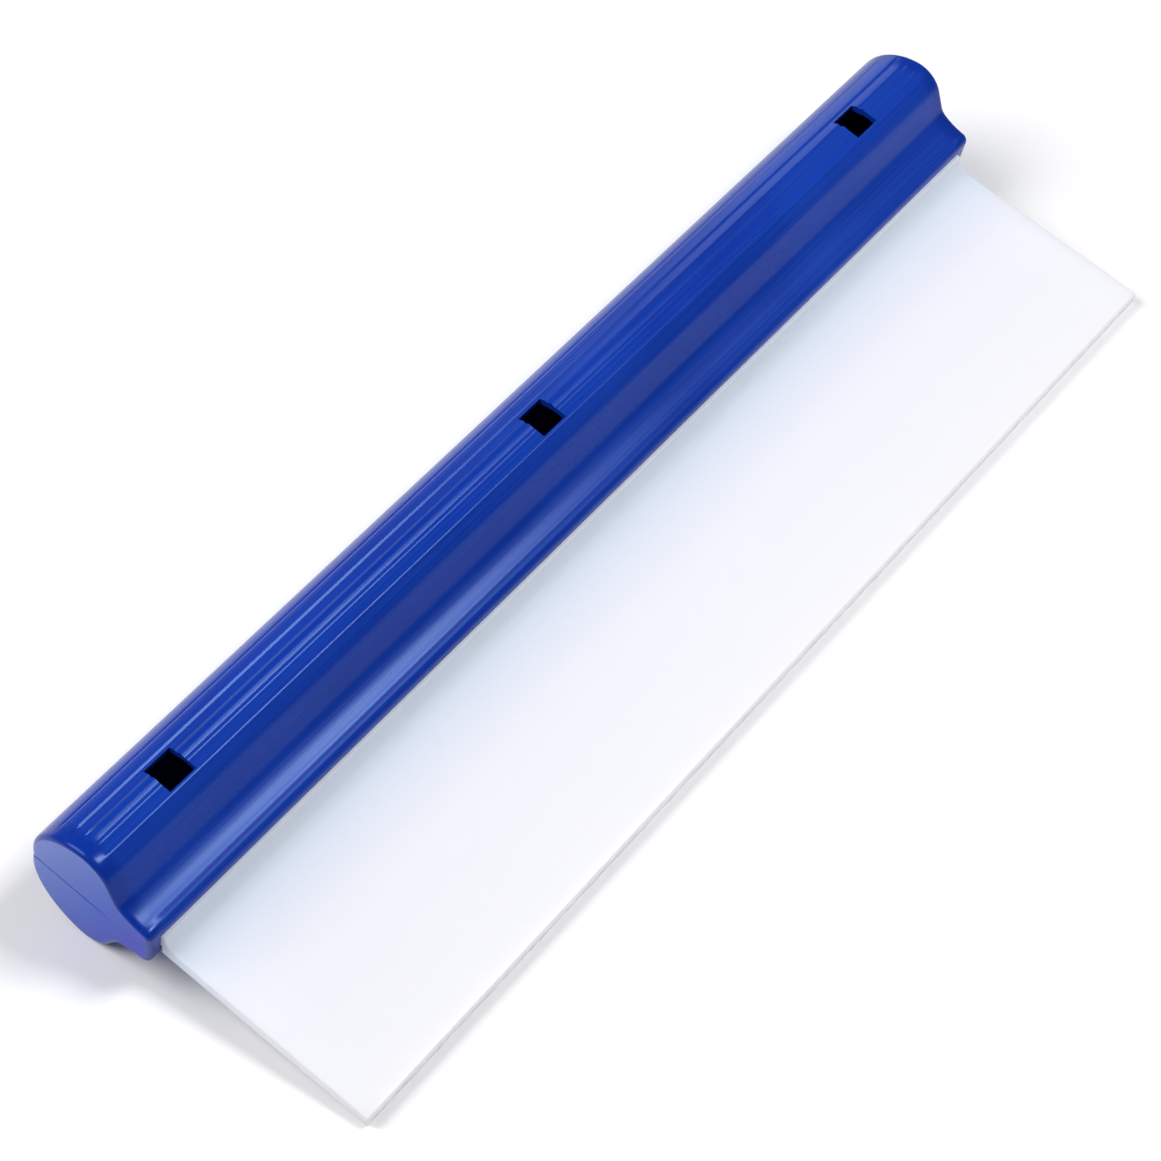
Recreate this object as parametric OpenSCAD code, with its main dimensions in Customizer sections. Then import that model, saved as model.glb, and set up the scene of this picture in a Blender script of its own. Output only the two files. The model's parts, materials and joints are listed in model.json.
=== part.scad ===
// Long silicone squeegee: a two-shell snap-together handle that clamps one flexible blade.
// It lies as it does on a bench: +X runs along the handle, the wiping edge points to -Y, +Z is up.
// Sections are drawn in the handle's own plane: u runs back from the mouth, and v is the height
// over the parting plane.

/* [Handle] */
// Length of the handle over its end faces
handle_l = 307.4; // [260:0.1:330]
// Radius of the grip's back
grip_back_r = 16.6; // [16:0.1:17]
// Radius where the grip turns down towards the neck
grip_front_r = 8.2; // [7.8:0.1:8.6]
// Height of the back radius's centre over the parting plane
grip_rise = 2.6; // [2.2:0.1:3]
// Length of the straight flank above the neck
flank_l = 4.9; // [4.5:0.1:5.2]
// Radius of the hollow neck
neck_r = 4.4; // [4:0.1:4.8]
// Radius of the shallow hollow that runs out over the lip
flare_r = 17.6; // [16:0.1:19]
// Radius of the lip's front corner
lip_corner_r = 2; // [1.6:0.1:2.2]
// Wall thickness of the shells
wall = 2; // [1.8:0.1:2.4]
// Thickness of each solid end wall
end_wall = 3.5; // [2:0.1:6]

/* [Windows and latches] */
// Side of each square window
window_w = 8; // [6:0.1:9]
// Distance from the middle window to each outer one
window_pitch = 126; // [90:1:126]
// Distance from the mouth to the windows' centres
window_u = 20.7; // [20:0.1:21.4]
// Width of each snap hook along the handle
hook_w = 6; // [4:0.1:7]
// Thickness of each snap hook
hook_t = 1.8; // [1.4:0.1:2]

/* [Blade] */
// Clearance between the blade's ends and the end walls
end_gap = 0.2; // [0.1:0.1:1]
// Reach of the blade from the mouth to the wiping edge
blade_reach = 58.7; // [50:0.1:62]
// Thickness of the blade's plate
blade_t = 3.8; // [3:0.1:3.9]
// Depth of the plate's middle below the parting plane
blade_drop = 3.4; // [3:0.1:3.6]
// Thickness of the root where the lips clamp it
root_t = 4.8; // [4.4:0.1:5]
// Distance from the mouth to the line that the blade flexes about
flex_u = 5; // [4.6:0.1:6]
// Height of the retaining bead inside the handle
bead_h = 8; // [7:0.1:8.4]
// Depth of the retaining bead
bead_d = 4; // [3:0.1:4.2]

/* [Hidden] */
plastic = "royalblue";
silicone = "lavender";
arc_step = 4;
running_gap = 0.05;
hook_gap = 0.2;
heel_gap = 0.2;
cut = 1;

// Angles of the outline's outward normals where one arc hands over to the next
top_a = 80;
flank_a = 153;
flare_a = 116;
lip_a = 96;

function dir(a) = [cos(a), sin(a)];
function arc(c, r, a0, a1) =
    let (n = ceil(abs(a1 - a0) / arc_step))
    [for (i = [0 : n]) c + r * dir(a0 + (a1 - a0) * i / n)];
function mirrored(pts) = [for (i = [len(pts) - 1 : -1 : 0]) [pts[i][0], -pts[i][1]]];

// The outline's arcs run over the back and the top, down the flank, through the neck and out over the lip.
// Their centres are worked out from the back arc's, then moved so that the lip's front face is at u = 0.
back_0 = [0, grip_rise];
front_0 = back_0 + (grip_back_r - grip_front_r) * dir(top_a);
neck_0 = front_0 + (grip_front_r + neck_r) * dir(flank_a) + flank_l * dir(flank_a + 90);
flare_0 = neck_0 + (flare_r - neck_r) * dir(flare_a);
nose_0 = flare_0 - (flare_r + lip_corner_r) * dir(lip_a);
to_mouth = [lip_corner_r - nose_0[0], 0];
back_c = back_0 + to_mouth;
front_c = front_0 + to_mouth;
neck_c = neck_0 + to_mouth;
flare_c = flare_0 + to_mouth;
nose_c = nose_0 + to_mouth;

outline = concat(
    arc(back_c, grip_back_r, -asin(grip_rise / grip_back_r), top_a),
    arc(front_c, grip_front_r, top_a, flank_a),
    arc(neck_c, neck_r, flank_a - 180, flare_a - 180),
    arc(flare_c, flare_r, flare_a - 180, lip_a - 180),
    arc(nose_c, lip_corner_r, lip_a, 180)
);

// The grip's hollow follows the back and front arcs, one wall inside, and ends at the web
back_in_r = grip_back_r - wall;
front_in_r = grip_front_r - wall;
web_u = front_c[0] + front_in_r * cos(flank_a);
hollow = concat(
    [[web_u, 0]],
    arc(back_c, back_in_r, -asin(grip_rise / back_in_r), top_a),
    arc(front_c, front_in_r, top_a, flank_a)
);

// The pocket holds the blade's bead, and the slot leads from it to the mouth
inner_l = handle_l - 2 * end_wall;
blade_l = inner_l - 2 * end_gap;
bead_u = 6.2;
bead_corner_r = 0.8;
pocket_h = bead_h / 2 + running_gap;
slot_h = root_t / 2 + running_gap;

// Each hook rises beside the web and its nose reaches over a ledge on the upper shell
ledge_v = 4;
ledge_h = 2;
ledge_d = 1.4;
hook_u = web_u + ledge_d + hook_gap;
nose_h = 1.6;
hook_top = ledge_v + ledge_h + hook_gap + nose_h;

// The root's seat wraps the plate's round end, and leaves it room to turn
plate_r = blade_t / 2;
seat_r = plate_r + running_gap;
seat_a = 55;
edge_r = 0.8;

// Outside the lips the root bar steps down to the plate's top through a hollow fillet
plate_top = plate_r - blade_drop;
plate_foot = -plate_r - blade_drop;
fillet_r = root_t / 2 - plate_top;
seat_edge = [-flex_u, -blade_drop] + seat_r * dir(seat_a);
fillet_a = acos((seat_edge[0] + flex_u) / fillet_r);

// The part is turned so that the grip and the wiping edge both touch the bench
edge_u = blade_reach - edge_r;
edge_v = plate_foot + edge_r;
span = [front_c[0] + edge_u, front_c[1] + edge_v];
lie_a = asin((grip_front_r - edge_r) / norm(span)) + atan2(span[1], span[0]);
lift = edge_u * sin(lie_a) - edge_v * cos(lie_a) + edge_r;
back_y = back_c[0] * cos(lie_a) + grip_rise * sin(lie_a) + grip_back_r;
edge_y = -edge_u * cos(lie_a) - (plate_top - edge_r) * sin(lie_a) - edge_r;
shift = -(back_y + edge_y) / 2;

module lay() {
    translate([0, shift, lift]) rotate([lie_a, 0, 0]) children();
}

// Extrudes a section drawn in u and v along the handle, centred on x
module along(length, x = 0) {
    translate([x, 0, 0]) rotate([90, 0, 90]) linear_extrude(length, center = true) children();
}

module at_windows() {
    for (i = [-1 : 1]) translate([i * window_pitch, 0, 0]) children();
}

// One half of the handle over the parting plane, with its hollow, pocket and slot
module half_shell() {
    difference() {
        along(handle_l) polygon(concat(outline, [[0, 0]]));
        along(inner_l) polygon(hollow);
        along(inner_l) translate([bead_u, -cut]) square([bead_d + running_gap, pocket_h + cut]);
        along(inner_l) translate([-cut, -cut]) square([bead_u + 2 * cut, slot_h + cut]);
    }
}

module upper_shell() {
    color(plastic) lay() {
        difference() {
            half_shell();
            at_windows() translate([-window_w / 2, window_u - window_w / 2, grip_rise])
                cube([window_w, window_w, grip_back_r + cut]);
        }
        at_windows() along(hook_w) translate([web_u - cut, ledge_v])
            square([ledge_d + cut, ledge_h]);
    }
}

module hook_section() {
    polygon([
        [hook_u, -front_c[1] - front_in_r],
        [hook_u + hook_t, -front_c[1] - front_in_r],
        [hook_u + hook_t, hook_top],
        [hook_u - ledge_d / 2, hook_top],
        [hook_u - ledge_d, hook_top - nose_h / 2],
        [hook_u - ledge_d, hook_top - nose_h],
        [hook_u, hook_top - nose_h]
    ]);
}

module lower_shell() {
    color(plastic) lay() {
        mirror([0, 0, 1]) half_shell();
        at_windows() along(hook_w) hook_section();
    }
}

// Bead and neck that the shells clamp, and the bar outside the lips with its seat for the flexing plate
module blade_root() {
    bead_end = bead_u + bead_d - bead_corner_r;
    corner_v = bead_h / 2 - bead_corner_r;
    bead = concat(
        [[bead_u, -root_t / 2], [bead_u, -bead_h / 2]],
        arc([bead_end, -corner_v], bead_corner_r, -90, 0),
        arc([bead_end, corner_v], bead_corner_r, 0, 90),
        [[bead_u, bead_h / 2], [bead_u, root_t / 2]]
    );
    bar = concat(
        arc([-flex_u, root_t / 2], fillet_r, 0, -fillet_a),
        arc([-flex_u, -blade_drop], seat_r, seat_a, -seat_a),
        [[seat_edge[0], plate_foot], [-heel_gap, plate_foot], [-heel_gap, -root_t / 2]]
    );
    color(silicone) lay() along(blade_l) polygon(concat(bead, bar));
}

// Plate from its round end at the flex line to the wiping edge
module blade_plate() {
    tip_v = plate_r - edge_r;
    upper_edge = arc([-edge_u, tip_v], edge_r, 90, 180);
    color(silicone) lay() along(blade_l) translate([0, -blade_drop])
        polygon(concat(arc([-flex_u, 0], plate_r, -90, 90), upper_edge, mirrored(upper_edge)));
}

upper_shell();
lower_shell();
blade_root();
blade_plate();
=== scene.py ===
"""Looks for the long silicone squeegee: a two-shell handle of blue plastic that clamps one soft blade.

Sections are drawn in the handle's own plane, in millimetres: u runs back from the mouth, and v is the
height over the parting plane. Section.place() turns them into the frame's metres.
"""
import json
import math

import bmesh
import bpy
from mathutils import Matrix, Vector


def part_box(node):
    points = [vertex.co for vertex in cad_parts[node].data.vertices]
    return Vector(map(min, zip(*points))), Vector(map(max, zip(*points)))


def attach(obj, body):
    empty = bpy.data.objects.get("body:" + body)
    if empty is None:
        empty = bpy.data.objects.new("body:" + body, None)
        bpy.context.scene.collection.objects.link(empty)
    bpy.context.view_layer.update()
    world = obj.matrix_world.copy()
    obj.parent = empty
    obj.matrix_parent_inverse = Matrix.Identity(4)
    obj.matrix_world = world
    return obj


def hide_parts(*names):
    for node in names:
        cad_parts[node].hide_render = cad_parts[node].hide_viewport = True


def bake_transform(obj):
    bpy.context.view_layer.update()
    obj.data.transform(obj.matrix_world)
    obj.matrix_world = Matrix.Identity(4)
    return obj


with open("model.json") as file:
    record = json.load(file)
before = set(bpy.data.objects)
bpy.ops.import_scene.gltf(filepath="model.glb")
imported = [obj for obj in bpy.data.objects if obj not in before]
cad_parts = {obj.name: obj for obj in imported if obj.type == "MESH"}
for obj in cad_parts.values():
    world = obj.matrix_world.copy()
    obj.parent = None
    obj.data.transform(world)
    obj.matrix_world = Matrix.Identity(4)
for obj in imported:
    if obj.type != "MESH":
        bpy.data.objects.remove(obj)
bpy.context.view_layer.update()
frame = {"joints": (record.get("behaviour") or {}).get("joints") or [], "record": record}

MM = 0.001
TINY = 1e-6
RECORD = frame["record"]
FLEX = next(j for j in frame["joints"] if j["name"] == "blade_flex")
WINDOW_MOUNT = next(m for m in RECORD["mounts"] if m["name"] == "hang_window")

# The handle's outline: back and top, down the flank, through the neck and the flare to the lip's nose
BACK_C, BACK_R = (17.730, 2.6), 16.6
FRONT_C, FRONT_R = (19.189, 10.872), 8.2
NECK_C, NECK_R = (5.738, 12.227), 4.4
FLARE_C, FLARE_R = (-0.049, 24.091), 17.6
NOSE_C, NOSE_R = (2.0, 4.598), 2.0
TOP_A, FLANK_A, FLARE_A, LIP_A = 80, 153, 116, 96

# The hollows inside it, and how many steps their arcs take
WALL = 2.0
BACK_IN_R, FRONT_IN_R = BACK_R - WALL, FRONT_R - WALL
WEB_U = FRONT_C[0] + FRONT_IN_R * math.cos(math.radians(FLANK_A))
SLOT_H = 2.45
SLOT_LEAD = 0.3
POCKET_U0, POCKET_U1, POCKET_H = 6.2, 10.25, 4.05
HALF_CAVITY = 150.2
INNER_FRONT_STEPS, INNER_TOP_STEPS, INNER_BACK_STEPS = 5, 4, 12
# Points of the cavity's section that go round the slot and the pocket, before those of the hollow
POCKET_POINTS = 6

# Ends of the handle, with the radius of their rounded edge
END_R = 1.2
END_STEPS = 5
HALF_HANDLE = (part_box("upper_shell")[1].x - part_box("upper_shell")[0].x) / 2 / MM

# The seam's groove. SEAM is half its width along the back, and its depth there. END_SEAM is half its width
# over an end face, where it fades between two shares of the way to the mouth, down to a hairline.
SEAM = 0.2
END_SEAM = 0.26
SEAM_DEPTH = 0.4
SEAM_FADE = (0.1, 0.75)
SEAM_STEPS = 14
HAIRLINE = 0.02

# Windows, hooks and their ledges, which are rooted a little way in the walls that carry them
WINDOW_W = 8
WINDOW_U = 20.7
WINDOW_X = (-126, 0, 126)
HOOK_W, HOOK_T = 6, 1.8
LEDGE_V, LEDGE_H, LEDGE_D = 4, 2, 1.4
HOOK_GAP = 0.2
HOOK_NOSE = 1.6
ROOTED = WALL / 3

# Lengthwise ribs: (distance over the outline from the back seam, height over the plain outline)
RIBS = (
    (15.3, 0), (15.7, -0.12), (16.4, -0.02), (19.9, 0), (20.3, -0.42), (20.6, -0.4), (23.1, 0),
    (23.5, -0.34), (24.1, -0.36), (24.5, -0.02), (24.9, 0), (26.2, -0.5), (26.5, -0.42), (26.8, -0.42),
    (27.2, -0.52), (27.6, -0.5), (28.6, -0.42), (29.4, -0.25), (30, -0.03), (30.35, 0), (31.2, -0.16),
    (34.5, 0), (48.8, 0), (50.1, -0.35), (51.4, -0.35), (52.9, 0),
)
RIBBED_TO = 34.5
# They fade out between these distances from the rounded ends, where extra rows follow the fade
RIB_FADE = (1.0, 4.5)
FADE_ROWS = (0.6, 2.6, 3.6, 4.6)

# Spacing of the skin's columns on ribbed and plain arcs and in the neck and lip, with the fewest steps
# that one face of a rib and one arc may take
RIB_STEP = 0.25
COARSE_STEP = 0.8
NECK_STEP = 0.35
FEWEST_ON_FACE, FEWEST_ON_ARC = 3, 8
# Spacing of its rows, and how near a plain row may come to one that has to be exact
ROW_STEP = 4.0
ROW_CLEAR = ROW_STEP / 5

# The blade: root and bead, the bar outside the lips, the plate with its wiping edge, and the edges of its
# ends as (distance from the end, inset)
HALF_BLADE = 150
ROOT_H = 2.4
BEAD_U0, BEAD_U1, BEAD_H, BEAD_R = 6.2, 10.2, 4.0, 0.8
BAR_U, BAR_R = -1.1, 0.4
FLEX_U, PLATE_V = -5.0, -3.4
PLATE_TOP, PLATE_FOOT = -1.5, -5.3
HEEL_U, HEEL_R = -0.2, 0.3
EDGE_U, EDGE_R = -57.9, 0.8
BLADE_END_R = 0.4
BLADE_ROUND = ((0, 0.32), (0.12, 0.1))
BLADE_ROWS = 60
# The arcs of its section take these steps, and the fillet from the bar to the plate starts at this angle
BAR_STEPS, FILLET_STEPS, EDGE_STEPS, CORNER_STEPS = 4, 12, 5, 3
FILLET_A = -8
# Half the zone over which it bends, and where the plate's top and foot have a point near the flex line
BEND_HALF = 2.2
TOP_POINTS = (-0.5, -1, -1.5, -2, -3, -5)
FOOT_POINTS = (-4, -3, -2, -1.5, -1, -0.5, 0, 0.5, 1, 1.5, 2, 3, 4)
# From here to the wiping edge the plate is plain, in even steps
CALM_U = FLEX_U + TOP_POINTS[-1]
PLATE_STEPS = 12

# Edges that fold by more than this many degrees are drawn sharp
SHELL_SHARP, BLADE_SHARP = 38, 50


def dir_of(angle):
    """Unit vector in u and v at an angle in degrees."""
    return math.cos(math.radians(angle)), math.sin(math.radians(angle))


def on_arc(centre, radius, angle):
    du, dv = dir_of(angle)
    return centre[0] + radius * du, centre[1] + radius * dv


def arc(centre, radius, a0, a1, steps):
    """Points of an arc, both ends included."""
    return [on_arc(centre, radius, a0 + (a1 - a0) * i / steps) for i in range(steps + 1)]


class Section:
    """Places points of the handle's section in the frame, from the record's flex line and window axis."""

    def __init__(self):
        axis = Vector(WINDOW_MOUNT["axis"])
        self.v_dir = Vector((0, axis.y, axis.z)).normalized()
        self.u_dir = Vector((0, self.v_dir.z, -self.v_dir.y))
        self.mouth = Vector(FLEX["pos_m"]) - self.offset(FLEX_U, PLATE_V)

    def offset(self, u, v, x=0.0):
        return (self.u_dir * u + self.v_dir * v + Vector((x, 0, 0))) * MM

    def place(self, u, v, x=0.0):
        return self.mouth + self.offset(u, v, x)


SECTION = Section()


def shell_columns():
    """The outline's columns from seam to nose: (kind, arc angle, distance over the outline, rib height).

    Also the angles of the windows' back and front edges, each of which has a column of its own.
    """
    start = -math.degrees(math.asin((BACK_C[1] - SEAM) / BACK_R))
    arcs = (
        ("back", BACK_R, start, TOP_A),
        ("front", FRONT_R, TOP_A, FLANK_A),
        ("neck", NECK_R, FLANK_A, FLARE_A),
        ("flare", FLARE_R, FLARE_A, LIP_A),
        ("nose", NOSE_R, LIP_A, 180),
    )
    window_back = math.degrees(math.acos((WINDOW_U + WINDOW_W / 2 - BACK_C[0]) / BACK_R))
    window_front = math.degrees(math.acos((WINDOW_U - WINDOW_W / 2 - FRONT_C[0]) / FRONT_R))
    columns = []
    run = 0.0
    for kind, radius, a0, a1 in arcs:
        length = radius * math.radians(abs(a1 - a0))
        if kind in ("back", "front"):
            window = window_back if kind == "back" else window_front
            stops = snapped(fine_stops(run, run + length), run + radius * math.radians(window - a0))
        else:
            count = max(FEWEST_ON_ARC, round(length / NECK_STEP))
            stops = [run + length * i / count for i in range(count + 1)]
        for s in stops[1:] if columns and kind != "neck" else stops:
            angle = a0 + (a1 - a0) * (s - run) / length
            columns.append((kind, angle, s, rib_height(s)))
        run += length
        if kind == "front":
            run += math.dist(on_arc(FRONT_C, FRONT_R, FLANK_A), on_arc(NECK_C, NECK_R, FLANK_A - 180))
    return columns, window_back, window_front


def fine_stops(s0, s1):
    """Distances from s0 to s1: coarse where it is plain, and fine over the ribs."""
    knots = [s0] + [s for s, _ in RIBS if s0 + RIB_STEP / 2 < s < s1 - RIB_STEP / 2] + [s1]
    stops = [s0]
    for a, b in zip(knots, knots[1:]):
        middle = (a + b) / 2
        step = RIB_STEP if RIBS[0][0] < middle < RIBBED_TO else COARSE_STEP
        count = max(FEWEST_ON_FACE, round((b - a) / step))
        stops += [a + (b - a) * i / count for i in range(1, count + 1)]
    return stops


def snapped(stops, value):
    """Moves the nearest stop to a value that needs one."""
    nearest = min(range(1, len(stops) - 1), key=lambda i: abs(stops[i] - value))
    return [value if i == nearest else s for i, s in enumerate(stops)]


def rib_height(s):
    """Height over the plain outline at a distance along it."""
    for (s0, h0), (s1, h1) in zip(RIBS, RIBS[1:]):
        if s0 <= s <= s1:
            return h0 + (h1 - h0) * (s - s0) / (s1 - s0)
    return 0.0


def smooth(value, low, high):
    """0 below low, 1 above high, and an even S between them."""
    t = min(1, max(0, (value - low) / (high - low)))
    return t * t * (3 - 2 * t)


def column_point(column, inset, rib_share):
    """One column's point in u and v, a distance inside the plain outline."""
    kind, angle, _, rib = column
    out = rib * rib_share - inset
    if kind == "back":
        return on_arc(BACK_C, BACK_R + out, angle)
    if kind == "front":
        return on_arc(FRONT_C, FRONT_R + out, angle)
    if kind == "neck":
        return on_arc(NECK_C, NECK_R - out, angle - 180)
    if kind == "flare":
        return on_arc(FLARE_C, FLARE_R - out, angle - 180)
    return on_arc(NOSE_C, NOSE_R + out, angle)


def shell_rows():
    """Positions along x where the shell has a row, with the windows' edges and the cavity's ends exact."""
    exact = [HALF_CAVITY, -HALF_CAVITY, HALF_HANDLE - END_R, END_R - HALF_HANDLE]
    exact += [x + side * WINDOW_W / 2 for x in WINDOW_X for side in (-1, 1)]
    exact += [side * (HALF_HANDLE - END_R - d) for side in (-1, 1) for d in FADE_ROWS]
    count = round(2 * HALF_CAVITY / ROW_STEP)
    filler = [-HALF_CAVITY + 2 * HALF_CAVITY * i / count for i in range(count + 1)]
    return sorted(exact + [x for x in filler if all(abs(x - e) > ROW_CLEAR for e in exact)])


class Mesh:
    """A bmesh whose points are given in the section's u and v and in x, on either side of the parting."""

    def __init__(self, mirrored=False):
        self.bm = bmesh.new()
        self.side = -1 if mirrored else 1
        self.run = self.bm.verts.layers.float.new("section_run")
        self.face_share = self.bm.verts.layers.float.new("end_face")

    def vert(self, u, v, x, run=0.0):
        vertex = self.bm.verts.new(SECTION.place(u, v * self.side, x))
        vertex[self.run] = run * MM
        return vertex

    def face(self, *verts):
        """A face over those vertices, each taken once. Fewer than three make none."""
        distinct = []
        for vertex in verts:
            if vertex not in distinct:
                distinct.append(vertex)
        if len(distinct) > 2:
            self.bm.faces.new(distinct)

    def strip(self, first, second):
        """Quads between two lines of vertices."""
        for a, b, c, d in zip(first, first[1:], second[1:], second):
            self.face(a, b, c, d)

    def build(self, name, material, sharp=SHELL_SHARP):
        """The object. Strips are smooth, and faces of more than four corners are flat."""
        bmesh.ops.recalc_face_normals(self.bm, faces=self.bm.faces)
        data = bpy.data.meshes.new(name)
        self.bm.to_mesh(data)
        self.bm.free()
        add_uv(data)
        data.set_sharp_from_angle(angle=math.radians(sharp))
        for polygon in data.polygons:
            polygon.use_smooth = polygon.loop_total <= 4
        data.materials.append(material)
        piece = bpy.data.objects.new(name, data)
        bpy.context.scene.collection.objects.link(piece)
        return piece


def add_uv(data):
    """UV from x and the section_run attribute, in metres."""
    layer = data.uv_layers.new(name="along")
    runs = data.attributes["section_run"].data
    for loop in data.loops:
        layer.data[loop.index].uv = (
            data.vertices[loop.vertex_index].co.x,
            runs[loop.vertex_index].value,
        )


def cavity_columns(window_angles):
    """The cavity's section from the mouth's upper corner to the hollow's end at the seam.

    Also the places in it of the windows' front and back edges.
    """
    back_end = -math.degrees(math.asin(BACK_C[1] / BACK_IN_R))
    inner_front, inner_back = window_angles
    points = [
        (0, SLOT_H + SLOT_LEAD),
        (SLOT_LEAD, SLOT_H),
        (POCKET_U0, SLOT_H),
        (POCKET_U0, POCKET_H),
        (POCKET_U1, POCKET_H),
        (POCKET_U1, 0),
        (WEB_U, 0),
    ]
    points += arc(FRONT_C, FRONT_IN_R, FLANK_A, inner_front, INNER_FRONT_STEPS)
    first_cut = len(points) - 1
    points += arc(FRONT_C, FRONT_IN_R, inner_front, TOP_A, INNER_FRONT_STEPS)[1:]
    points += arc(BACK_C, BACK_IN_R, TOP_A, inner_back, INNER_TOP_STEPS)[1:]
    last_cut = len(points) - 1
    points += arc(BACK_C, BACK_IN_R, inner_back, back_end, INNER_BACK_STEPS)[1:]
    return points, first_cut, last_cut


def inner_window_angles():
    """Angles at which the windows' front and back edges meet the hollow."""
    front = math.degrees(math.acos((WINDOW_U - WINDOW_W / 2 - FRONT_C[0]) / FRONT_IN_R))
    back = math.degrees(math.acos((WINDOW_U + WINDOW_W / 2 - BACK_C[0]) / BACK_IN_R))
    return front, back


def seam_tip(inset):
    """u of the seam's bottom on the back, a distance inside the outline."""
    return BACK_C[0] + math.sqrt((BACK_R - inset) ** 2 - BACK_C[1] ** 2) - SEAM


def make_shell(name, material, is_lower):
    """One shell: ribbed skin, rounded ends and a hollow inside. Only the upper one has windows."""
    mesh = Mesh(mirrored=is_lower)
    columns, window_back, window_front = shell_columns()

    def column_at(kind, angle):
        return next(i for i, c in enumerate(columns) if c[0] == kind and abs(c[1] - angle) < TINY)

    def skin_row(x, inset=0.0):
        """The outline at x, a distance inside itself, from the seam's bottom to the nose."""
        from_round = HALF_HANDLE - END_R - abs(x)
        rib_share = smooth(from_round, *RIB_FADE)
        points = [(column_point(c, inset, rib_share), c[2]) for c in columns]
        return [mesh.vert(seam_tip(inset), 0, x)] + [mesh.vert(u, v, x, s) for (u, v), s in points]

    # A row starts at the seam's bottom, so a column's vertex is one place further on in it
    cut_back, cut_front = column_at("back", window_back) + 1, column_at("front", window_front) + 1
    rows = shell_rows()
    skins = {x: skin_row(x) for x in rows}
    hollow, first_cut, last_cut = cavity_columns(inner_window_angles())
    cavity_rows = [x for x in rows if abs(x) < HALF_CAVITY + TINY]
    cavities = {x: [mesh.vert(u, v, x) for u, v in hollow] for x in cavity_rows}

    def in_window(x0, x1):
        return not is_lower and any(abs((x0 + x1) / 2 - w) < WINDOW_W / 2 for w in WINDOW_X)

    for x0, x1 in zip(rows, rows[1:]):
        skin0, skin1 = skins[x0], skins[x1]
        if not in_window(x0, x1):
            mesh.strip(skin0, skin1)
            continue
        mesh.strip(skin0[: cut_back + 1], skin1[: cut_back + 1])
        mesh.strip(skin0[cut_front:], skin1[cut_front:])
    for x0, x1 in zip(cavity_rows, cavity_rows[1:]):
        skin0, skin1 = skins[x0], skins[x1]
        inner0, inner1 = cavities[x0], cavities[x1]
        if in_window(x0, x1):
            mesh.strip(inner0[: first_cut + 1], inner1[: first_cut + 1])
            mesh.strip(inner0[last_cut:], inner1[last_cut:])
            mesh.face(skin0[cut_back], skin1[cut_back], inner1[last_cut], inner0[last_cut])
            mesh.face(skin0[cut_front], skin1[cut_front], inner1[first_cut], inner0[first_cut])
        else:
            mesh.strip(inner0, inner1)
        mesh.face(skin0[-1], skin1[-1], inner1[0], inner0[0])
        mesh.face(skin0[0], skin1[0], inner1[-1], inner0[-1])
    if not is_lower:
        for w in WINDOW_X:
            for x in (w - WINDOW_W / 2, w + WINDOW_W / 2):
                rim = skins[x][cut_back : cut_front + 1]
                mesh.face(*rim, *cavities[x][first_cut : last_cut + 1])
    for sign in (-1, 1):
        close_end(mesh, sign, skins, cavities, skin_row)
    return mesh.build(name, material)


def close_end(mesh, sign, skins, cavities, skin_row):
    """The solid end wall with its rounded edge, and the seam line that fades across its face."""
    inner = cavities[sign * HALF_CAVITY]
    wall_x = sign * (HALF_HANDLE - END_R)
    first, last = skins[sign * HALF_CAVITY], skins[wall_x]
    heel_in = mesh.vert(0, 0, sign * HALF_CAVITY)
    heel = mesh.vert(0, 0, wall_x)
    pocket, room = inner[:POCKET_POINTS], inner[POCKET_POINTS:]
    mesh.face(heel_in, *pocket)
    mesh.face(*room)
    mesh.face(first[-1], pocket[0], heel_in, heel, last[-1])
    mesh.face(heel_in, pocket[-1], room[0], room[-1], first[0], last[0], heel)
    for step in range(1, END_STEPS + 1):
        turn = math.pi / 2 * step / END_STEPS
        inset = END_R * (1 - math.cos(turn))
        x = sign * (HALF_HANDLE - END_R + END_R * math.sin(turn))
        row = skin_row(x, inset)
        row_heel = mesh.vert(inset, 0, x)
        mesh.strip(last, row)
        if step < END_STEPS:
            mesh.face(last[-1], row[-1], row_heel, heel)
            mesh.face(last[0], row[0], row_heel, heel)
        else:
            close_face(mesh, sign, row, row_heel, last, heel, inset, x)
        last, heel = row, row_heel


def close_face(mesh, sign, row, row_heel, last, heel, inset, x):
    """The end face itself. Its lower edge leans in along the seam, less and less towards the mouth."""
    tip_u = seam_tip(inset)
    upper, lower = [row[1]], [row[0]]
    row[0].co.x -= sign * SEAM_DEPTH * MM
    for i in range(1, SEAM_STEPS):
        share = i / SEAM_STEPS
        u = tip_u + (inset - tip_u) * share
        depth = SEAM_DEPTH * (1 - smooth(share, *SEAM_FADE)) + HAIRLINE
        upper.append(mesh.vert(u, END_SEAM, x))
        lower.append(mesh.vert(u, 0, x - sign * depth))
    upper.append(mesh.vert(inset, END_SEAM, x))
    lower.append(row_heel)
    row_heel.co.x -= sign * HAIRLINE * MM
    mesh.strip(upper, lower)
    # These vertices carry the end face's painted light and reflection in the material
    for vertex in row + upper + lower:
        vertex[mesh.face_share] = 1.0
    mesh.face(*row[1:], *reversed(upper[1:]))
    mesh.face(*lower, heel, last[0])
    mesh.face(last[-1], row[-1], upper[-1], row_heel, heel)


def add_prism(mesh, points, x, width):
    """A closed bar of that section, centred on x."""
    near = [mesh.vert(u, v, x - width / 2) for u, v in points]
    far = [mesh.vert(u, v, x + width / 2) for u, v in points]
    mesh.strip(near + near[:1], far + far[:1])
    mesh.face(*near)
    mesh.face(*reversed(far))


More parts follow.
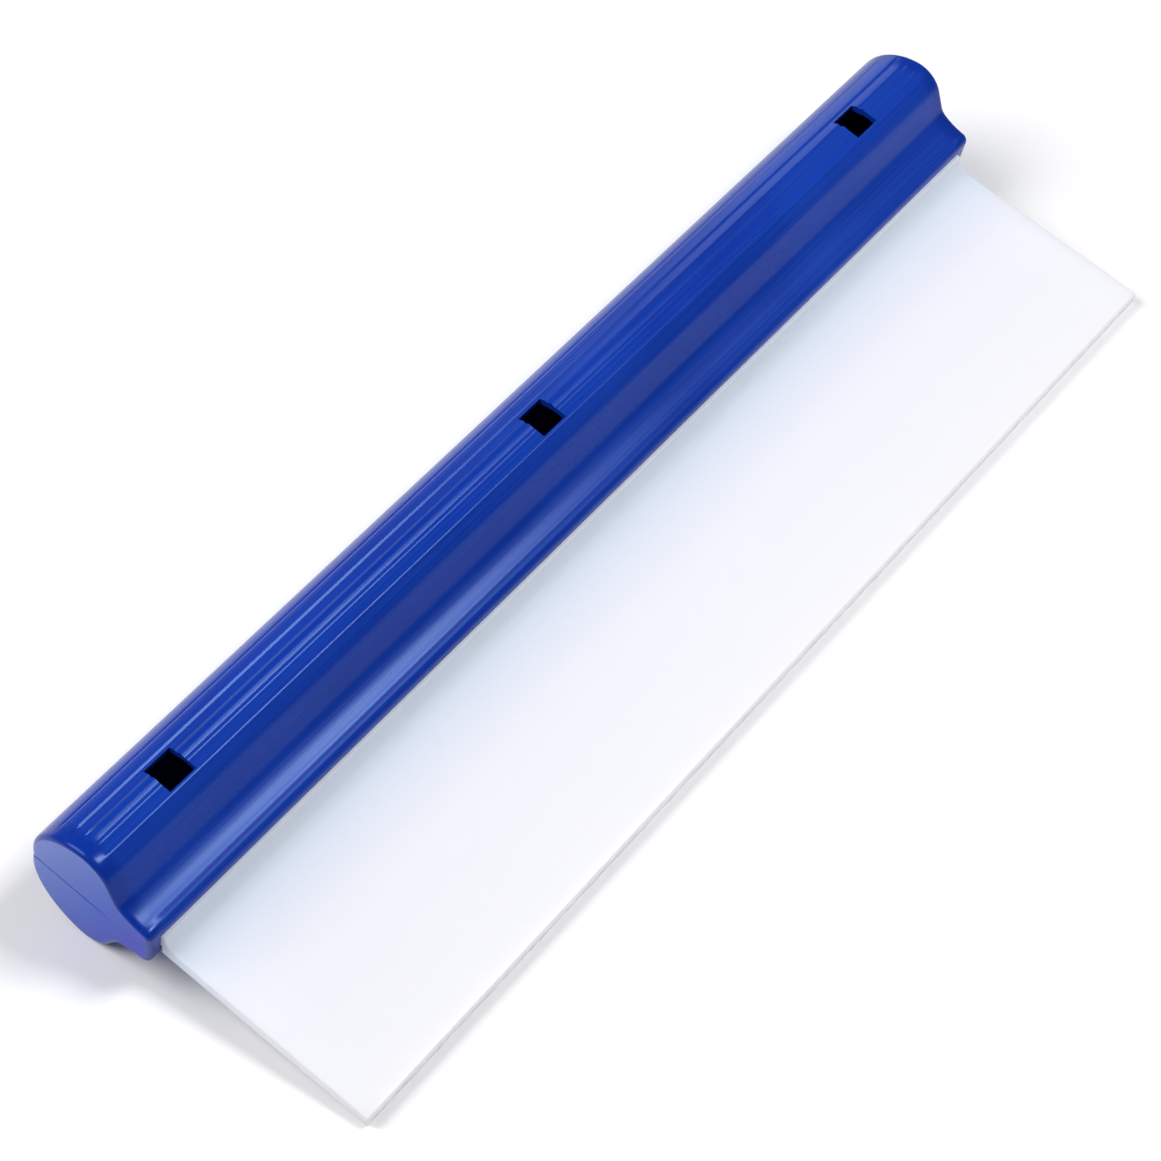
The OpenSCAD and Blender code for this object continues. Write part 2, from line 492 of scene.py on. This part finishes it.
def joined(target, extra):
    """Moves the geometry of one piece into another, which has the same material."""
    target.data.materials.clear()
    bm = bmesh.new()
    bm.from_mesh(target.data)
    bm.from_mesh(extra.data)
    bm.to_mesh(target.data)
    bm.free()
    target.data.materials.append(extra.data.materials[0])
    bpy.data.objects.remove(extra)
    return target


def make_latches(material, is_lower):
    """The three snap hooks of the lower shell, or the three ledges of the upper one."""
    mesh = Mesh()
    hook_u = WEB_U + LEDGE_D + HOOK_GAP
    hook_top = LEDGE_V + LEDGE_H + HOOK_GAP + HOOK_NOSE
    foot_v = -FRONT_C[1] - FRONT_IN_R - ROOTED
    hook = (
        (hook_u, foot_v),
        (hook_u + HOOK_T, foot_v),
        (hook_u + HOOK_T, hook_top),
        (hook_u - LEDGE_D / 2, hook_top),
        (hook_u - LEDGE_D, hook_top - HOOK_NOSE / 2),
        (hook_u - LEDGE_D, hook_top - HOOK_NOSE),
        (hook_u, hook_top - HOOK_NOSE),
    )
    ledge = (
        (WEB_U - ROOTED, LEDGE_V),
        (WEB_U + LEDGE_D, LEDGE_V),
        (WEB_U + LEDGE_D, LEDGE_V + LEDGE_H),
        (WEB_U - ROOTED, LEDGE_V + LEDGE_H),
    )
    for x in WINDOW_X:
        add_prism(mesh, hook if is_lower else ledge, x, HOOK_W)
    return mesh.build("latches", material)


def blade_section():
    """The whole blade's section: neck, root bar, hollow fillet, plate, rounded wiping edge and bead.

    The points lie closer together near the flex line, where the blade bends.
    """
    flat = (EDGE_U - CALM_U) / PLATE_STEPS
    points = [(BEAD_U0, ROOT_H), (0.0, ROOT_H)]
    points += arc((BAR_U + BAR_R, ROOT_H - BAR_R), BAR_R, 90, 180, BAR_STEPS)
    points += arc((FLEX_U, ROOT_H), ROOT_H - PLATE_TOP, FILLET_A, -90, FILLET_STEPS)
    points += [(FLEX_U + d, PLATE_TOP) for d in TOP_POINTS]
    points += [(CALM_U + flat * i, PLATE_TOP) for i in range(1, PLATE_STEPS)]
    points += arc((EDGE_U, PLATE_TOP - EDGE_R), EDGE_R, 90, 180, EDGE_STEPS)
    points += arc((EDGE_U, PLATE_FOOT + EDGE_R), EDGE_R, 180, 270, EDGE_STEPS)
    points += [(EDGE_U - flat * i, PLATE_FOOT) for i in range(1, PLATE_STEPS + 1)]
    points += [(FLEX_U + d, PLATE_FOOT) for d in FOOT_POINTS]
    points += arc((HEEL_U - HEEL_R, PLATE_FOOT + HEEL_R), HEEL_R, 270, 360, CORNER_STEPS)
    points += [(HEEL_U, -ROOT_H), (BEAD_U0, -ROOT_H), (BEAD_U0, -BEAD_H)]
    points += arc((BEAD_U1 - BEAD_R, BEAD_R - BEAD_H), BEAD_R, -90, 0, CORNER_STEPS)
    points += arc((BEAD_U1 - BEAD_R, BEAD_H - BEAD_R), BEAD_R, 0, 90, CORNER_STEPS)
    points += [(BEAD_U0, BEAD_H)]
    return points


def shrunk(points, amount):
    """The closed section moved inwards by a small amount."""
    if amount == 0:
        return points
    moved = []
    for before, here, after in zip(points[-1:] + points[:-1], points, points[1:] + points[:1]):
        du, dv = after[0] - before[0], after[1] - before[1]
        length = math.hypot(du, dv)
        moved.append((here[0] - dv / length * amount, here[1] + du / length * amount))
    return moved


def make_blade(material):
    """The one-piece blade, with its share of the reach from the mouth as an attribute for the material."""
    mesh = Mesh()
    section = blade_section()
    runs = [0.0]
    for a, b in zip(section, section[1:]):
        runs.append(runs[-1] + math.dist(a, b))

    def ring(x, inset=0.0):
        return [mesh.vert(u, v, x, s) for (u, v), s in zip(shrunk(section, inset), runs)]

    inside = HALF_BLADE - BLADE_END_R
    rings = [ring(-HALF_BLADE + d, inset) for d, inset in BLADE_ROUND]
    rings += [ring(-inside + 2 * inside * i / BLADE_ROWS) for i in range(BLADE_ROWS + 1)]
    rings += [ring(HALF_BLADE - d, inset) for d, inset in reversed(BLADE_ROUND)]
    for first, second in zip(rings, rings[1:]):
        mesh.strip(first + first[:1], second + second[:1])
    mesh.face(*rings[0])
    mesh.face(*reversed(rings[-1]))
    piece = mesh.build("silicone_blade", material, sharp=BLADE_SHARP)
    reach = piece.data.attributes.new("reach", "FLOAT", "POINT")
    along = SECTION.place(EDGE_U, PLATE_V) - SECTION.mouth
    for vertex, value in zip(piece.data.vertices, reach.data):
        value.value = min(1, max(0, (vertex.co - SECTION.mouth).dot(along) / along.length_squared))
    return piece


class Nodes:
    """Short calls for a material's node tree."""

    def __init__(self, name):
        self.material = bpy.data.materials.new(name)
        self.material.use_nodes = True
        self.tree = self.material.node_tree
        self.shader = next(n for n in self.tree.nodes if n.type == "BSDF_PRINCIPLED")

    def add(self, kind, links=(), **values):
        """A new node with those properties, and links from other nodes' outputs to its sockets."""
        node = self.tree.nodes.new(kind)
        for key, value in values.items():
            setattr(node, key, value)
        for socket, source in links:
            self.tree.links.new(source, node.inputs[socket])
        return node

    def link(self, source, socket):
        """Links an output to the material's shader."""
        self.tree.links.new(source, self.shader.inputs[socket])

    def ramp(self, source, stops):
        node = self.add("ShaderNodeValToRGB", [("Fac", source)])
        elements = node.color_ramp.elements
        while len(elements) < len(stops):
            elements.new(0.5)
        for element, (position, colour) in zip(elements, stops):
            element.position = position
            element.color = (*colour, 1)
        return node.outputs["Color"]

    def noise(self, vector, scale, detail=3.0, roughness=0.5):
        node = self.add("ShaderNodeTexNoise", [("Vector", vector)])
        node.inputs["Scale"].default_value = scale
        node.inputs["Detail"].default_value = detail
        node.inputs["Roughness"].default_value = roughness
        return node.outputs["Fac"]

    def stretched(self, vector, scale):
        """Coordinates scaled by axis, so that a noise over them becomes streaks."""
        node = self.add("ShaderNodeMapping", [("Vector", vector)])
        node.inputs["Scale"].default_value = scale
        return node.outputs["Vector"]

    def mix(self, share, first, second):
        """first where share is 0, and second where it is 1. 6, 7 and 2 are the node's colour sockets."""
        links = [("Factor", share), (6, first), (7, second)]
        return self.add("ShaderNodeMix", links, data_type="RGBA").outputs[2]

    def map_range(self, value, source, target):
        """source runs onto target, and stays at its ends beyond them."""
        node = self.add("ShaderNodeMapRange", [("Value", value)])
        for socket, number in zip(("From Min", "From Max", "To Min", "To Max"), source + target):
            node.inputs[socket].default_value = number
        return node.outputs["Result"]

    def maths(self, operation, a, b):
        """a and b are outputs or plain numbers."""
        node = self.add("ShaderNodeMath", operation=operation)
        for socket, value in zip(node.inputs, (a, b)):
            if isinstance(value, (int, float)):
                socket.default_value = value
            else:
                self.tree.links.new(value, socket)
        return node.outputs["Value"]

    def bump(self, height, strength, distance, before=None):
        """A normal raised by height, on top of another bump's normal if there is one."""
        links = [("Height", height)] + ([("Normal", before)] if before else [])
        node = self.add("ShaderNodeBump", links)
        node.inputs["Strength"].default_value = strength
        node.inputs["Distance"].default_value = distance
        return node.outputs["Normal"]


# The plastic's colour where its mottle is darkest and lightest, and the tint of what it reflects
PLASTIC_DARK = (0.002, 0.027, 0.290)
PLASTIC_LIGHT = (0.005, 0.044, 0.380)
PLASTIC_GLINT = (0.40, 0.58, 1.0)
# Scales of its noises: the drag lines over the UV in metres, and the cloud and the grain over the object
PLASTIC_STREAKS, PLASTIC_CLOUD, PLASTIC_GRAIN = (9, 1500, 1), 18.0, 2600.0
# Its roughness at the least, and what the drag lines and the cloud add
PLASTIC_ROUGHNESS = (0.16, 0.12, 0.10)
# The end face is painted paler towards the grip's top and back, a painted light and reflection, over this
# range of Y + PALE_CLIMB * Z
PALE_CLIMB = 0.8
PALE_RANGE = (0.0295, 0.0594)
END_PAINTED_LIGHT = (
    (0.00, (0.000, 0.017, 0.480)),
    (0.35, (0.002, 0.060, 0.515)),
    (1.00, (0.085, 0.153, 0.570)),
)
# The drag lines fade out between these distances from the middle, before the rounded ends
STREAK_FADE = (0.1480, 0.1515)


def plastic():
    """Royal-blue moulded plastic: fine lengthwise drag lines, a faint grain, and end faces painted paler,
    as painted light and reflection.
    """
    nodes = Nodes("handle_plastic")
    uv = nodes.add("ShaderNodeUVMap", uv_map="along").outputs["UV"]
    place = nodes.add("ShaderNodeTexCoord").outputs["Object"]
    end_face = nodes.add("ShaderNodeAttribute", attribute_name="end_face").outputs["Fac"]
    across = nodes.add("ShaderNodeSeparateXYZ", [("Vector", place)]).outputs
    drawn = nodes.map_range(nodes.maths("ABSOLUTE", across["X"], 0), STREAK_FADE, (1.0, 0.0))
    streaks = nodes.noise(nodes.stretched(uv, PLASTIC_STREAKS), 1.0, detail=4.0, roughness=0.6)
    streaks = nodes.maths("MULTIPLY", streaks, drawn)
    cloud = nodes.noise(place, PLASTIC_CLOUD)
    grain = nodes.noise(place, PLASTIC_GRAIN, detail=2.0)
    mottle = nodes.maths("ADD", nodes.maths("MULTIPLY", streaks, 0.5), nodes.maths("MULTIPLY", cloud, 0.5))
    blue = nodes.ramp(mottle, [(0.35, PLASTIC_DARK), (0.65, PLASTIC_LIGHT)])
    # Painted light and reflection: the end face's colour turns paler with height and towards the back
    climb = nodes.maths("ADD", across["Y"], nodes.maths("MULTIPLY", across["Z"], PALE_CLIMB))
    pale = nodes.ramp(nodes.map_range(climb, PALE_RANGE, (0.0, 1.0)), END_PAINTED_LIGHT)
    nodes.link(nodes.mix(end_face, blue, pale), "Base Color")
    base, by_streaks, by_cloud = PLASTIC_ROUGHNESS
    dragged = nodes.maths("MULTIPLY", streaks, by_streaks)
    clouded = nodes.maths("MULTIPLY", cloud, by_cloud)
    nodes.link(nodes.maths("ADD", nodes.maths("ADD", dragged, clouded), base), "Roughness")
    lines = nodes.bump(streaks, strength=0.15, distance=0.00006)
    nodes.link(nodes.bump(grain, strength=0.12, distance=0.00003, before=lines), "Normal")
    nodes.shader.inputs["IOR"].default_value = 1.39
    nodes.shader.inputs["Specular Tint"].default_value = (*PLASTIC_GLINT, 1)
    return nodes.material


# The silicone's colour over its reach, from the mouth at 0 to the wiping edge at 1. Near the mouth it is
# painted darker and bluer, a painted shade under the handle and a painted reflection of its blue
SILICONE_COLOUR_AND_SHADE = (
    (0.00, (0.82, 0.89, 0.995)),
    (0.05, (0.77, 0.84, 0.995)),
    (0.12, (0.75, 0.83, 0.995)),
    (0.25, (0.81, 0.85, 0.995)),
    (0.45, (0.88, 0.885, 0.995)),
    (1.00, (0.92, 0.925, 0.995)),
)
# Scales of its noises, as for the plastic
SILICONE_STREAKS, SILICONE_CLOUD = (400, 8, 1), 14.0
# The root is rougher than the plate: two shares of the reach, and the roughness at each
ROOT_FADE = (0.10, 0.16)
ROOT_ROUGHNESS = (0.48, 0.26)


def silicone():
    """Milky silicone: soft, satin and slightly see-through, with a faint mottle and drag lines, and a
    painted shade and blue reflection near the handle.
    """
    nodes = Nodes("blade_silicone")
    uv = nodes.add("ShaderNodeUVMap", uv_map="along").outputs["UV"]
    place = nodes.add("ShaderNodeTexCoord").outputs["Object"]
    cloud = nodes.noise(place, SILICONE_CLOUD)
    streaks = nodes.noise(nodes.stretched(uv, SILICONE_STREAKS), 1.0)
    reach = nodes.add("ShaderNodeAttribute", attribute_name="reach").outputs["Fac"]
    # Painted shade and reflection: the colour darkens and turns bluer towards the mouth, by reach
    depth = nodes.maths("ADD", reach, nodes.maths("MULTIPLY", cloud, 0.04))
    nodes.link(nodes.ramp(depth, SILICONE_COLOUR_AND_SHADE), "Base Color")
    satin = nodes.map_range(reach, ROOT_FADE, ROOT_ROUGHNESS)
    nodes.link(nodes.maths("ADD", nodes.maths("MULTIPLY", cloud, 0.12), satin), "Roughness")
    nodes.link(nodes.bump(streaks, strength=0.15, distance=0.00004), "Normal")
    shader = nodes.shader.inputs
    shader["IOR"].default_value = 1.41
    shader["Transmission Weight"].default_value = 0.07
    shader["Subsurface Weight"].default_value = 0.5
    shader["Subsurface Radius"].default_value = (1.0, 1.0, 1.0)
    shader["Subsurface Scale"].default_value = 0.005
    return nodes.material


# The floor's half width in metres, and the scale and the shades of its faint cloud
FLOOR_HALF = 4.0
FLOOR_CLOUD = 3.0
FLOOR_SHADES = [(0.3, (0.90, 0.90, 0.905)), (0.7, (0.91, 0.91, 0.915))]


def pale_floor():
    """A matt studio floor, wide enough to fill the camera's view."""
    nodes = Nodes("pale_floor")
    place = nodes.add("ShaderNodeTexCoord").outputs["Object"]
    nodes.link(nodes.ramp(nodes.noise(place, FLOOR_CLOUD), FLOOR_SHADES), "Base Color")
    nodes.shader.inputs["Roughness"].default_value = 0.9
    nodes.shader.inputs["Specular IOR Level"].default_value = 0.1
    half = FLOOR_HALF
    corners = [(-half, -half, 0), (half, -half, 0), (half, half, 0), (-half, half, 0)]
    data = bpy.data.meshes.new("floor")
    data.from_pydata(corners, [], [(0, 1, 2, 3)])
    data.materials.append(nodes.material)
    floor = bpy.data.objects.new("floor", data)
    bpy.context.scene.collection.objects.link(floor)


def aim(obj, back, up_hint=Vector((0, 0, 1)), roll=0.0):
    """Turns an object so that its back faces along a vector, and it looks the other way."""
    back = back.normalized()
    right = up_hint.cross(back).normalized()
    up = back.cross(right)
    c, s = math.cos(roll), math.sin(roll)
    x_axis, y_axis = right * c + up * s, up * c - right * s
    turned = Matrix((x_axis, y_axis, back)).transposed().to_4x4()
    obj.matrix_world = Matrix.Translation(obj.location) @ turned


# The camera's angles in degrees, and the point and distance in millimetres that it looks at and from
CAMERA_AZIMUTH, CAMERA_ELEVATION, CAMERA_ROLL = -52.33, 52.66, 0.93
CAMERA_TARGET = (-8.9, 9.6, -0.9)
CAMERA_DISTANCE = 718.4
CAMERA_LENS = 93.33
CAMERA_SENSOR = 36


def add_camera():
    azimuth, elevation = math.radians(CAMERA_AZIMUTH), math.radians(CAMERA_ELEVATION)
    back = Vector((
        math.sin(azimuth) * math.cos(elevation),
        -math.cos(azimuth) * math.cos(elevation),
        math.sin(elevation),
    ))
    data = bpy.data.cameras.new("camera")
    data.sensor_width = CAMERA_SENSOR
    data.lens = CAMERA_LENS
    camera = bpy.data.objects.new("camera", data)
    bpy.context.scene.collection.objects.link(camera)
    camera.location = (Vector(CAMERA_TARGET) + back * CAMERA_DISTANCE) * MM
    aim(camera, back, roll=math.radians(CAMERA_ROLL))
    bpy.context.scene.camera = camera


def add_softbox(name, place, target, size, power, colour):
    """A rectangular light of that size in metres and power in watts, aimed at a target."""
    data = bpy.data.lights.new(name, "AREA")
    data.shape = "RECTANGLE"
    data.size, data.size_y = size
    data.energy = power
    data.color = colour
    light = bpy.data.objects.new(name, data)
    bpy.context.scene.collection.objects.link(light)
    light.location = place
    aim(light, Vector(place) - Vector(target), up_hint=Vector((0, 1, 0.01)))


# The room's white light, and the softboxes: name, place, target, size in metres, power in watts and colour
ROOM_STRENGTH = 0.2
SOFTBOXES = (
    ("overhead", (0.335, -0.42, 1.0), (0.05, 0, 0), (0.335, 0.30), 7.5, (1, 1, 1)),
    ("back_left", (-0.6, 0.7, 1.0), (0, 0, 0), (0.8, 0.8), 13.0, (1, 1, 1)),
    ("far_back", (0.9, 1.0, 0.3), (0.1, 0, 0), (0.6, 0.3), 0.9, (0.75, 0.87, 1.0)),
)


def add_light():
    """A dim white room and three softboxes: one for the long highlights, one to fill and a bluish one."""
    world = bpy.data.worlds.new("studio")
    world.use_nodes = True
    background = world.node_tree.nodes["Background"].inputs
    background["Color"].default_value = (1, 1, 1, 1)
    background["Strength"].default_value = ROOM_STRENGTH
    bpy.context.scene.world = world
    for softbox in SOFTBOXES:
        add_softbox(*softbox)
    bpy.context.scene.view_settings.view_transform = "Standard"


add_camera()
add_light()
pale_floor()

BLUE = plastic()
for node, is_lower in (("upper_shell", False), ("lower_shell", True)):
    shell = joined(make_shell(node + "_skin", BLUE, is_lower), make_latches(BLUE, is_lower))
    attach(shell, "handle")
    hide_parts(node)

blade = make_blade(silicone())
SECTION.place(FLEX_U + BEND_HALF, PLATE_V)
SECTION.place(FLEX_U - BEND_HALF, PLATE_V)
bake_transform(blade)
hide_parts("blade_root", "blade_plate")
